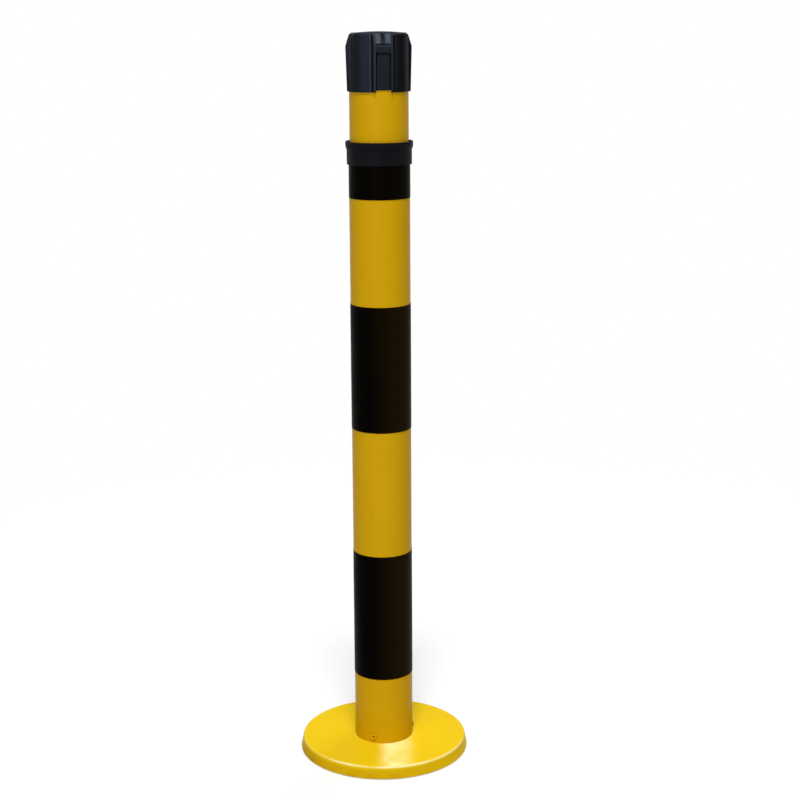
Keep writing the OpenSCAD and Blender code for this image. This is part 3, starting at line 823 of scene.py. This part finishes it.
def makeCollar(spec):
    low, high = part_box("collar")
    lipR, top, foot = high.x, high.z, low.z
    skirt, flare, lip, mouth, deep, guide = (spec[k] * mm for k in (
        "skirt", "flare", "lip", "mouth", "mouthDepth", "guide"))
    groove, fit, soft, inner = (spec[k] * mm for k in ("groove", "tubeFit", "round", "mouthRound"))
    tubeTop = top - spec["tubeDrop"] * mm
    grooveLow = tubeTop + spec["grooveRise"] * mm
    grooveHigh = grooveLow + spec["grooveHeight"] * mm
    outside = arcPoints((skirt - soft, foot + soft), soft, -90, 0, spec["roundSteps"])
    outside += [(skirt, foot + spec["footHold"] * mm)]
    for i in range(spec["arcSteps"] + 1):
        up = i / spec["arcSteps"]  # share of the flare's height
        out = (1 - math.cos(math.pi * up)) / 2
        outside.append((skirt + (lipR - skirt) * out, top - lip - flare * (1 - up)))
    outside += [(lipR, top - spec["lipHold"] * mm)]
    outside += arcPoints((lipR - soft, top - soft), soft, 0, 90, spec["roundSteps"])
    inside = [(mouth + inner, top), (mouth, top - inner), (mouth, top - deep), (guide, top - deep)]
    inside += [(guide, grooveHigh), (groove, grooveHigh), (groove, grooveLow), (guide, grooveLow)]
    inside += [(guide, tubeTop), (fit, tubeTop), (fit, foot)]
    piece = spunPiece("flaredCollar", outside + inside, spec["steps"])
    settle(piece, "post", mouldedPlastic("collarBlack", collarPlastic), "collar")


makeCollar(collarRing)
print("collar spun")


# Head: moulded shell and belt end with softened edges, and the domed cap

headEdges = {"shell": 0.5, "beltEnd": 0.5, "segments": 3, "sharp": 25}
padShoulders = {"topReach": 31.4, "run": 4.4, "drop": 3.2, "cutter": 50.0}  # slanted cut over each pad
headMarks = {"windowLean": 24.4, "leanMatch": 2.5, "channelIn": 12.55, "channelOut": 14.95,
             "channelReach": 30.0, "sideEdgeShare": 0.3}
domedCap = {"sheet": 2.0, "crown": 1.5, "round": 0.6, "roundTurn": 60, "roundSteps": 4, "rings": 14,
            "steps": 128}


def slantShoulders(piece, spec):
    run, drop, side = (spec[k] * mm for k in ("run", "drop", "cutter"))
    lean = math.atan2(drop, run)
    edge = Vector((0, -spec["topReach"] * mm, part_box("head_shell")[1].z))  # where the slant starts
    for quarter in range(4):
        turn = fullTurn * quarter / 4
        middle = edge + Vector((0, -math.sin(lean), math.cos(lean))) * side / 2
        middle.rotate(Matrix.Rotation(turn, 3, "Z"))
        workOn(None)
        bpy.ops.mesh.primitive_cube_add(size=side, location=middle, rotation=(lean, 0, turn))
        cutter = bpy.context.object
        useModifier(piece, "BOOLEAN", operation="DIFFERENCE", object=cutter, solver="EXACT")
        bpy.data.objects.remove(cutter)
    flattenFaces(piece)


def markFaces(piece, spec):
    lean = math.radians(spec["windowLean"])
    facing = Vector((0, -math.cos(lean), math.sin(lean)))
    marks = piece.data.attributes
    for mark in ("window", "channelShade"):
        marks.new(mark, "FLOAT", "FACE")
    window, channelShade, roundedEdge = (marks[mark].data for mark in ("window", "channelShade", "roundedEdge"))
    for face in piece.data.polygons:
        x, y = abs(face.center.x) / mm, abs(face.center.y) / mm
        across, reach = min(x, y), max(x, y)  # beside and along the nearest pad's middle
        # rounded edges on the side pads get less of the painted edge highlight
        if x > y:
            roundedEdge[face.index].value *= spec["sideEdgeShare"]
        # faces of the sloped window get the painted reflection
        if face.normal.angle(facing) < math.radians(spec["leanMatch"]):
            window[face.index].value = 1
        # channel faces beside the pads get painted shade
        elif spec["channelIn"] < across < spec["channelOut"] and reach > spec["channelReach"]:
            channelShade[face.index].value = 1 - roundedEdge[face.index].value


def makeHead(spec):
    shell = plainCopy("headShell", "head_shell")
    slantShoulders(shell, padShoulders)
    roundEdges(shell, spec["shell"], spec["segments"], spec["sharp"])
    markFaces(shell, headMarks)
    settle(shell, "mast", finishes["black_plastic"], "head_shell")
    panel = plainCopy("beltEnd", "clip_panel")
    roundEdges(panel, spec["beltEnd"], spec["segments"], spec["sharp"])
    settle(panel, "belt_end", finishes["clip_plastic"], "clip_panel")


def makeCap(spec):
    low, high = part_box("head_cap")
    capR, seat = high.x, low.z
    sheet, crown, soft = (spec[k] * mm for k in ("sheet", "crown", "round"))
    brim = high.z - crown
    shares = [1 - i / spec["rings"] for i in range(spec["rings"] + 1)]
    dome = [((capR - soft) * s, brim + crown * (1 - s * s)) for s in shares]
    outside = [(capR, seat)]
    outside += arcPoints((capR - soft, brim - soft), soft, 0, spec["roundTurn"], spec["roundSteps"]) + dome
    under = [(0, high.z - sheet), (capR - sheet, brim - sheet), (capR - sheet, seat)]
    piece = spunPiece("domedCap", outside + under, spec["steps"])
    settle(piece, "mast", mouldedPlastic("capBlack", capPlastic), "head_cap")


makeHead(headEdges)
makeCap(domedCap)
print("head finished")


# Belt: a flat strap from the roll round a guide pin to the belt end's pin, and the wound roll

beltStrap = {"thickness": 0.5, "pinRadius": 2.0, "rollGap": 0.3, "pinGap": 0.1, "turnSteps": 8,
             "reachSteps": 120, "loopFrom": 90, "loopTo": 440, "loopSteps": 28}
beltRoll = {"length": 2000.0, "thickness": 0.42, "pitch": 0.5, "stepsPerTurn": 48}


def makeStrap(spec):
    low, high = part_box("belt_lead")
    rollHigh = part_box("belt_roll")[1]
    pinLow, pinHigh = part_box("guide_pins")
    clipLow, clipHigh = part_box("clip_pin")
    thick = spec["thickness"] * mm
    pin = Vector((pinHigh.x - spec["pinRadius"] * mm, (pinLow.y + pinHigh.y) / 2))
    clip = (clipLow.y + clipHigh.y) / 2
    rollR = rollHigh.x + spec["rollGap"] * mm + thick / 2
    leave = math.atan2(pin.y, pin.x) + math.acos((rollR + pin.x) / pin.length)  # where it leaves the roll
    loopR = (clipHigh.x - clipLow.x) / 2 + spec["pinGap"] * mm + thick / 2
    path = [(rollR * math.cos(leave), rollR * math.sin(leave))]
    path += arcPoints(pin, pin.x, math.degrees(leave) + 180, 180, spec["turnSteps"])
    run, steps = clip + loopR - pin.y, spec["reachSteps"]
    path += [(0, pin.y + run * i / steps) for i in range(1, steps + 1)]
    path += arcPoints((0, clip), loopR, spec["loopFrom"], spec["loopTo"], spec["loopSteps"])[1:]
    piece = raisedStrip("beltStrap", [(x, y, low.z) for x, y in path], high.z - low.z, thick)
    settle(piece, None, finishes["belt_webbing"], "belt_lead")
    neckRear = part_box("clip_panel")[1].y
    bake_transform(piece, "mast", "belt_end", start=(0, pin.y, low.z), end=(0, neckRear, low.z))


def makeRoll(spec):
    low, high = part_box("belt_roll")
    thick, pitch = spec["thickness"] * mm, spec["pitch"] * mm
    hub = math.sqrt(high.x ** 2 - spec["length"] * mm * pitch / math.pi)  # core under the whole belt
    turns = (high.x - hub) / pitch - 1
    points = []
    for i in range(round(turns * spec["stepsPerTurn"]) + 1):
        angle = fullTurn * i / spec["stepsPerTurn"]
        radius = hub + pitch * (i / spec["stepsPerTurn"] + 0.5)
        points.append((radius * math.cos(angle), radius * math.sin(angle), low.z))
    piece = raisedStrip("beltRoll", points, high.z - low.z, thick)
    settle(piece, "spool", finishes["belt_webbing"], "belt_roll")


makeStrap(beltStrap)
makeRoll(beltRoll)
print("belt made")
